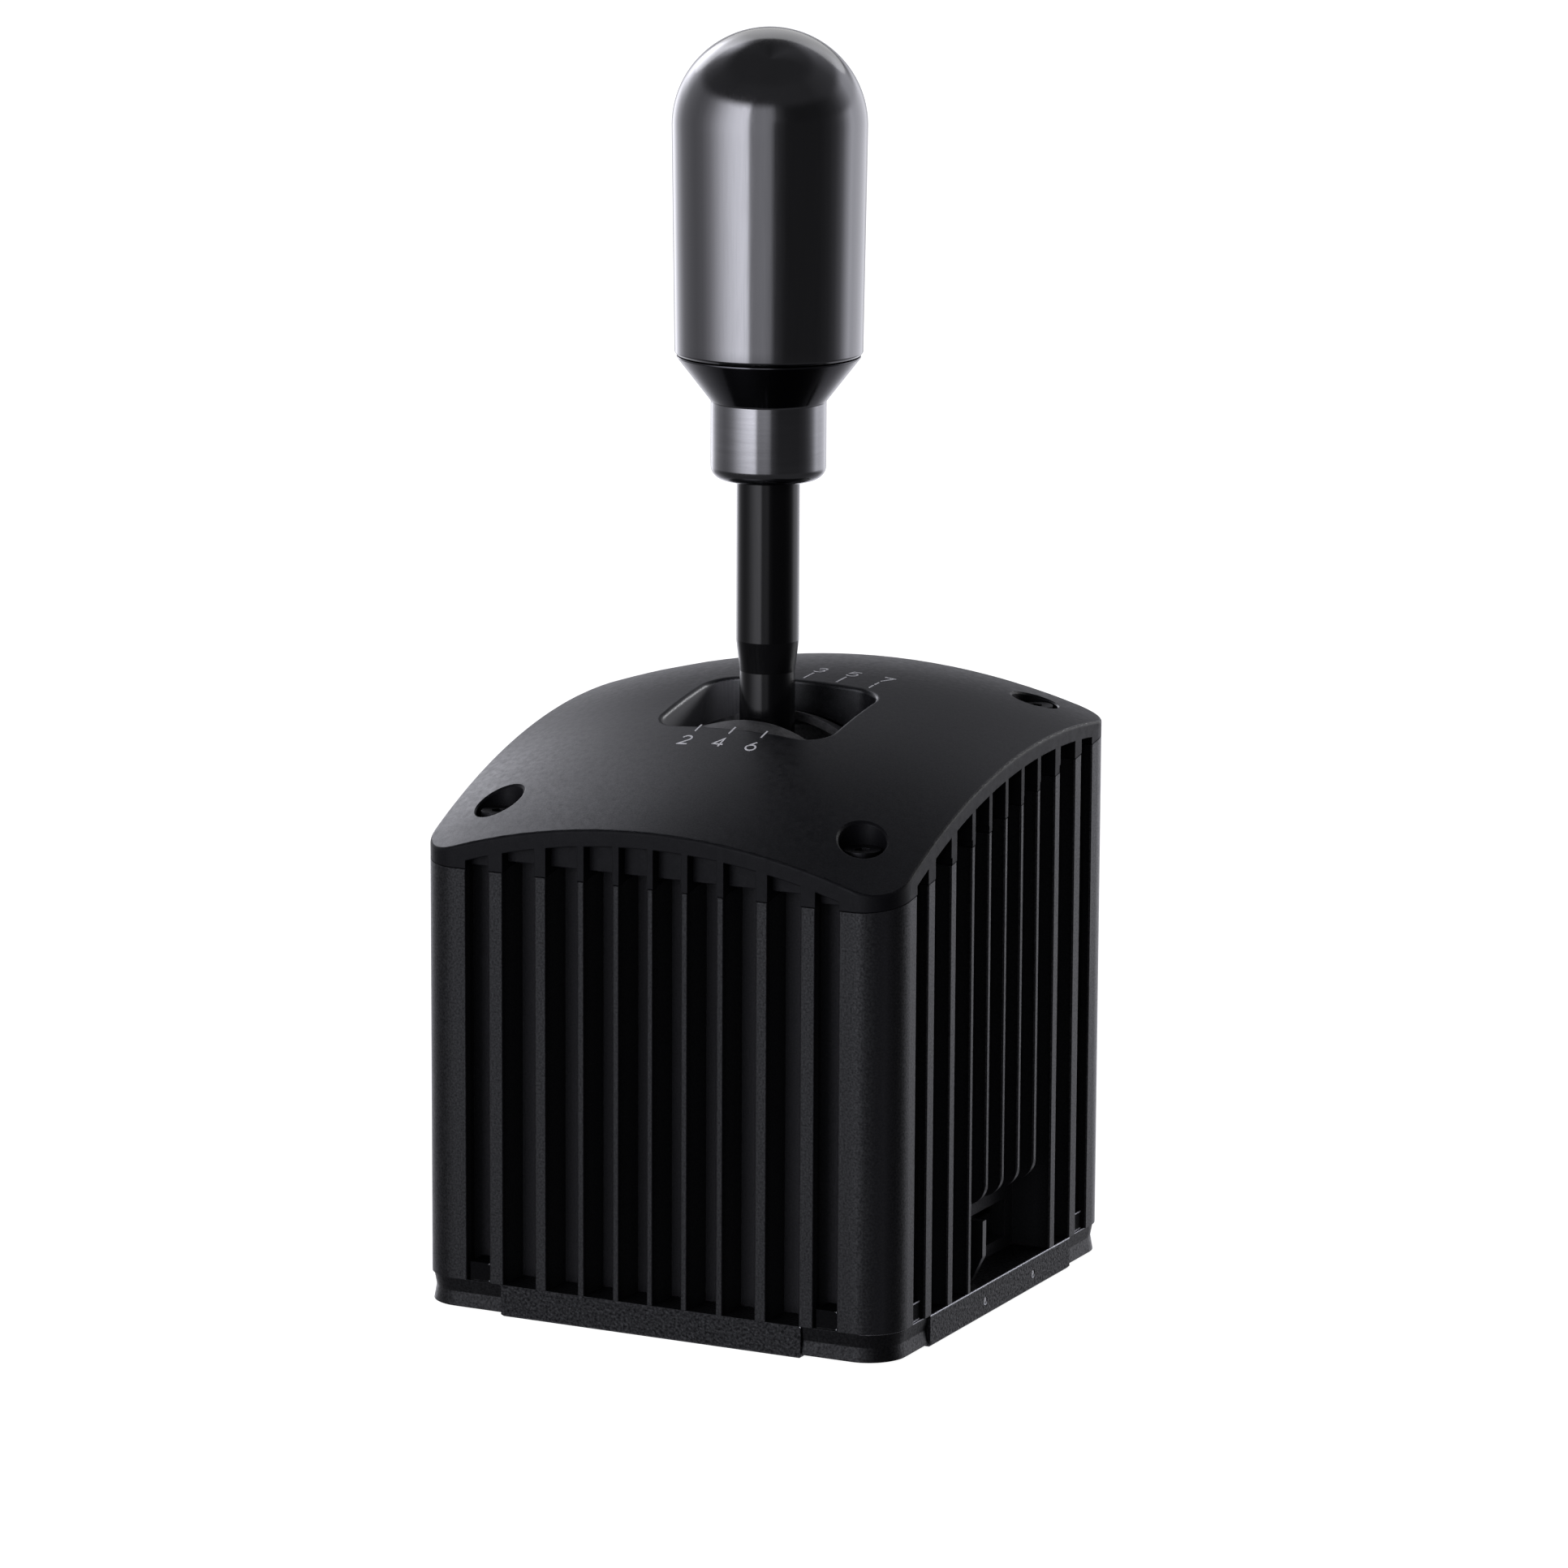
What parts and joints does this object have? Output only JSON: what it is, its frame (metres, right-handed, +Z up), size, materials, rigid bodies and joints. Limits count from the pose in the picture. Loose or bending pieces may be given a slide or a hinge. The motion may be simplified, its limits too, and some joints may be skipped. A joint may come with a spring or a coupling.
{
  "type": "sim racing gear shifter",
  "caption": "Finned square housing with a domed cover, a gated opening and a leaning, pressable lever under a capsule knob, for desk or rig mounting.",
  "frame": {"origin": "middle of the base's underside, on the surface that it stands on", "axes": "+X to the right along the front face, +Y to the rear where the cover is highest, +Z up along the lever"},
  "size_m": [0.1, 0.1, 0.2428],
  "materials": {
    "housing_black": "black anodised, matte, fine vertical grain",
    "cover_black": "satin black, very fine grain, white printed gear marks",
    "base_coat": "black coarse powder coat",
    "cap_plastic": "dark smooth moulded plastic",
    "screw_black": "black oxide",
    "screw_steel": "zinc plated",
    "frame_alu": "machined",
    "bearing_steel": "ground and polished steel",
    "spring_steel": "drawn wire",
    "bush_brass": "turned",
    "magnet_nickel": "nickel plated",
    "board_green": "solder mask",
    "chip_black": "moulded epoxy",
    "inner_plastic": "moulded, self-lubricating",
    "shield_grey": "fine grainy grey",
    "rod_black": "gloss black",
    "collar_gunmetal": "dark polished",
    "knob_gunmetal": "satin gunmetal",
    "tab_black": "matte black",
    "print_white": "printed gear marks, off white"
  },
  "bodies": {
    "base": {"wall_front": "housing_black", "wall_rear": "housing_black", "wall_left": "housing_black", "wall_right": "housing_black", "column_front_left": "housing_black", "column_front_right": "housing_black", "column_rear_left": "housing_black", "column_rear_right": "housing_black", "top_cover": "cover_black", "cover_screws": "screw_black", "base_plate": "base_coat", "base_screws": "screw_black", "corner_cap_front_left": "cap_plastic", "corner_cap_front_right": "cap_plastic", "corner_cap_rear_left": "cap_plastic", "corner_cap_rear_right": "cap_plastic", "cap_screws": "screw_black", "bearing_plate_left": "frame_alu", "bearing_plate_right": "frame_alu", "shift_bearing_left": "bearing_steel", "shift_bearing_right": "bearing_steel", "frame_crossbar_front": "frame_alu", "frame_crossbar_rear": "frame_alu", "frame_screws": "screw_steel", "detent_block": "frame_alu", "detent_spring": "spring_steel", "adjuster_screw": "screw_steel", "mode_guide_rod": "bearing_steel", "mode_brackets": "inner_plastic", "mode_strip": "board_green", "board_standoffs": "bush_brass", "sensor_board": "board_green", "hall_sensors": "chip_black", "board_screws": "screw_steel", "data_socket": "chip_black"},
    "rocker": {"shift_rocker": "frame_alu", "shift_pin_left": "bearing_steel", "shift_pin_right": "bearing_steel", "select_pin": "bearing_steel", "detent_cam": "bearing_steel", "spring_arm": "frame_alu", "dust_shield": "shield_grey", "shield_screws": "screw_steel"},
    "lever": {"lever_hub": "frame_alu", "select_bush_front": "bush_brass", "select_bush_rear": "bush_brass", "lever_magnet": "magnet_nickel", "centring_spring_left": "spring_steel", "centring_spring_right": "spring_steel", "press_spring": "spring_steel"},
    "stick": {"shift_rod": "rod_black", "press_pin": "bearing_steel", "knob_collar": "collar_gunmetal", "knob_body": "knob_gunmetal", "knob_insert": "bush_brass"},
    "selector": {"mode_tab": "tab_black", "mode_carriage": "inner_plastic"},
    "plunger": {"detent_plunger": "bearing_steel"}
  },
  "joints": [
    {"name": "lever_shift", "type": "hinge", "parent": "base", "child": "rocker", "pos_m": [0, -0.00135, 0.075], "axis": [1, 0, 0], "range_deg": [-10.5, 10.5]},
    {"name": "lever_select", "type": "hinge", "parent": "rocker", "child": "lever", "pos_m": [0, -0.00135, 0.075], "axis": [0, 1, 0], "range_deg": [-9.1, 18.2], "stiffness_Nm_per_rad": 1.5, "deforming": ["centring_spring_left", "centring_spring_right"]},
    {"name": "lever_press", "type": "slide", "parent": "lever", "child": "stick", "axis": [0, 0, 1], "range_m": [-0.004, 0], "stiffness_N_per_m": 1500, "springref_m": 0.004, "deforming": ["press_spring"]},
    {"name": "mode_slide", "type": "slide", "parent": "base", "child": "selector", "axis": [0, 1, 0], "range_m": [0, 0.0218]},
    {"name": "detent_press", "type": "slide", "parent": "base", "child": "plunger", "axis": [0, 0, 1], "range_m": [0, 0.0012], "stiffness_N_per_m": 2000, "springref_m": 0.004, "deforming": ["detent_spring"]}
  ]
}
